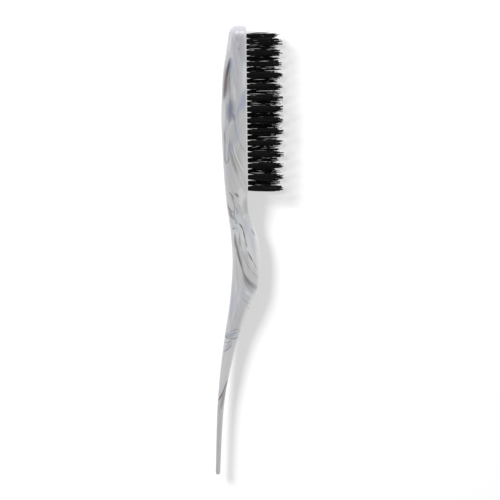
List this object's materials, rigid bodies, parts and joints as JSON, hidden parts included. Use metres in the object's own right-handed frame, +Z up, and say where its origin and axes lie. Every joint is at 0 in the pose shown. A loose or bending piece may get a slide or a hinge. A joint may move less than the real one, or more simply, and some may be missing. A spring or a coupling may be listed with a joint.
{
  "type": "teasing brush",
  "caption": "Slim one-piece hair teasing brush with a swelling grip, a thin sectioning tail and staggered rows of folded nylon tufts.",
  "frame": {"origin": "middle of the brush's box, on the surface that the brush lies on with one cheek of its head", "axes": "+X the way the bristles point, +Y from the tail to the head, +Z up across the width of the head"},
  "size_m": [0.0358, 0.225, 0.0155],
  "materials": {
    "marbled_plastic": "pale grey-blue marbled plastic, polished",
    "black_nylon": "black nylon bristle"
  },
  "bodies": {
    "root": {"handle": "marbled_plastic", "tuft_left_01": "black_nylon", "tuft_left_02": "black_nylon", "tuft_left_03": "black_nylon", "tuft_left_04": "black_nylon", "tuft_left_05": "black_nylon", "tuft_left_06": "black_nylon", "tuft_left_07": "black_nylon", "tuft_left_08": "black_nylon", "tuft_left_09": "black_nylon", "tuft_left_10": "black_nylon", "tuft_left_11": "black_nylon", "tuft_left_12": "black_nylon", "tuft_left_13": "black_nylon", "tuft_left_14": "black_nylon", "tuft_middle_01": "black_nylon", "tuft_middle_02": "black_nylon", "tuft_middle_03": "black_nylon", "tuft_middle_04": "black_nylon", "tuft_middle_05": "black_nylon", "tuft_middle_06": "black_nylon", "tuft_middle_07": "black_nylon", "tuft_middle_08": "black_nylon", "tuft_middle_09": "black_nylon", "tuft_middle_10": "black_nylon", "tuft_middle_11": "black_nylon", "tuft_middle_12": "black_nylon", "tuft_middle_13": "black_nylon", "tuft_middle_14": "black_nylon", "tuft_right_01": "black_nylon", "tuft_right_02": "black_nylon", "tuft_right_03": "black_nylon", "tuft_right_04": "black_nylon", "tuft_right_05": "black_nylon", "tuft_right_06": "black_nylon", "tuft_right_07": "black_nylon", "tuft_right_08": "black_nylon", "tuft_right_09": "black_nylon", "tuft_right_10": "black_nylon", "tuft_right_11": "black_nylon", "tuft_right_12": "black_nylon", "tuft_right_13": "black_nylon", "tuft_right_14": "black_nylon"}
  },
  "joints": []
}
